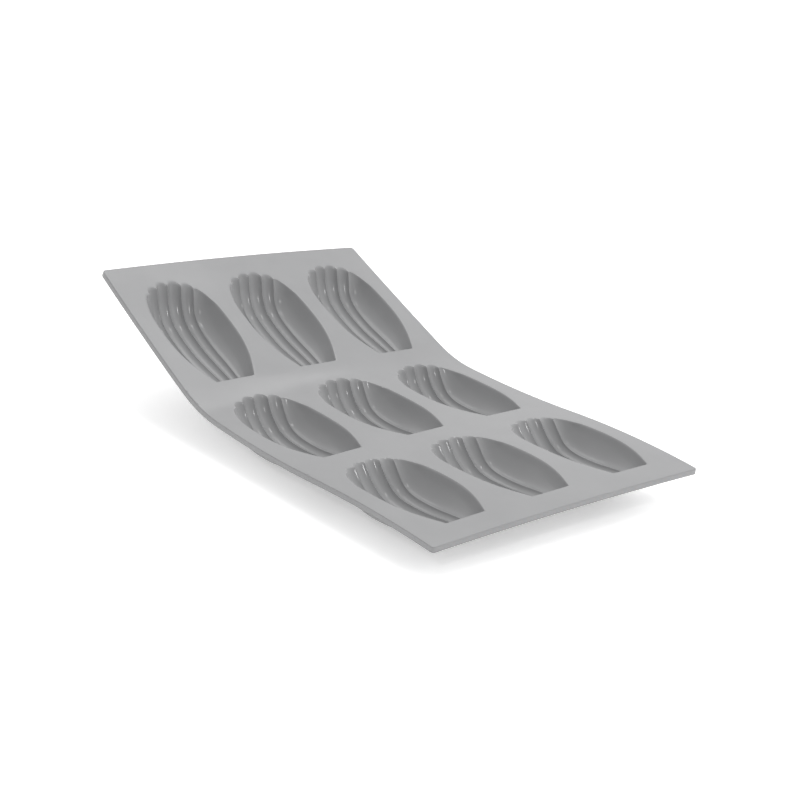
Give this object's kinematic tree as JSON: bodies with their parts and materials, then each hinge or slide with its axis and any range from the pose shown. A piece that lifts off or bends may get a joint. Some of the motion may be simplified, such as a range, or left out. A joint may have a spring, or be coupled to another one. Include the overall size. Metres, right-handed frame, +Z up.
{
  "type": "madeleine pan",
  "caption": "Bent, flexible one-piece baking mould: a thin sheet with rows of fluted shell cups for small cakes.",
  "frame": {"origin": "centre of the bounding box at the height of the surface that the mould stands on", "axes": "+X across the sheet, +Y along the sheet towards its raised back edge, +Z up"},
  "size_m": [0.1788, 0.293, 0.069],
  "materials": {
    "silicone": "satin"
  },
  "bodies": {
    "middle_section": {"middle_panel": "silicone", "back_flex_web": "silicone", "front_flex_web": "silicone", "shell_middle_left": "silicone", "shell_middle_centre": "silicone", "shell_middle_right": "silicone"},
    "back_section": {"back_panel": "silicone", "shell_back_left": "silicone", "shell_back_centre": "silicone", "shell_back_right": "silicone"},
    "front_section": {"front_panel": "silicone", "shell_front_left": "silicone", "shell_front_centre": "silicone", "shell_front_right": "silicone"}
  },
  "joints": [
    {"name": "flex_back", "type": "hinge", "parent": "middle_section", "child": "back_section", "pos_m": [-0.00104, 0.05159, 0.02289], "axis": [0.9996, -0.0129, -0.025], "range_deg": [-80, 60], "stiffness_Nm_per_rad": 1.5, "deforming": ["back_flex_web"]},
    {"name": "flex_front", "type": "hinge", "parent": "middle_section", "child": "front_section", "pos_m": [-0.00133, -0.04313, 0.01845], "axis": [-1, -0.0028, -0.0013], "range_deg": [-70, 70], "stiffness_Nm_per_rad": 1.5, "deforming": ["front_flex_web"]}
  ]
}
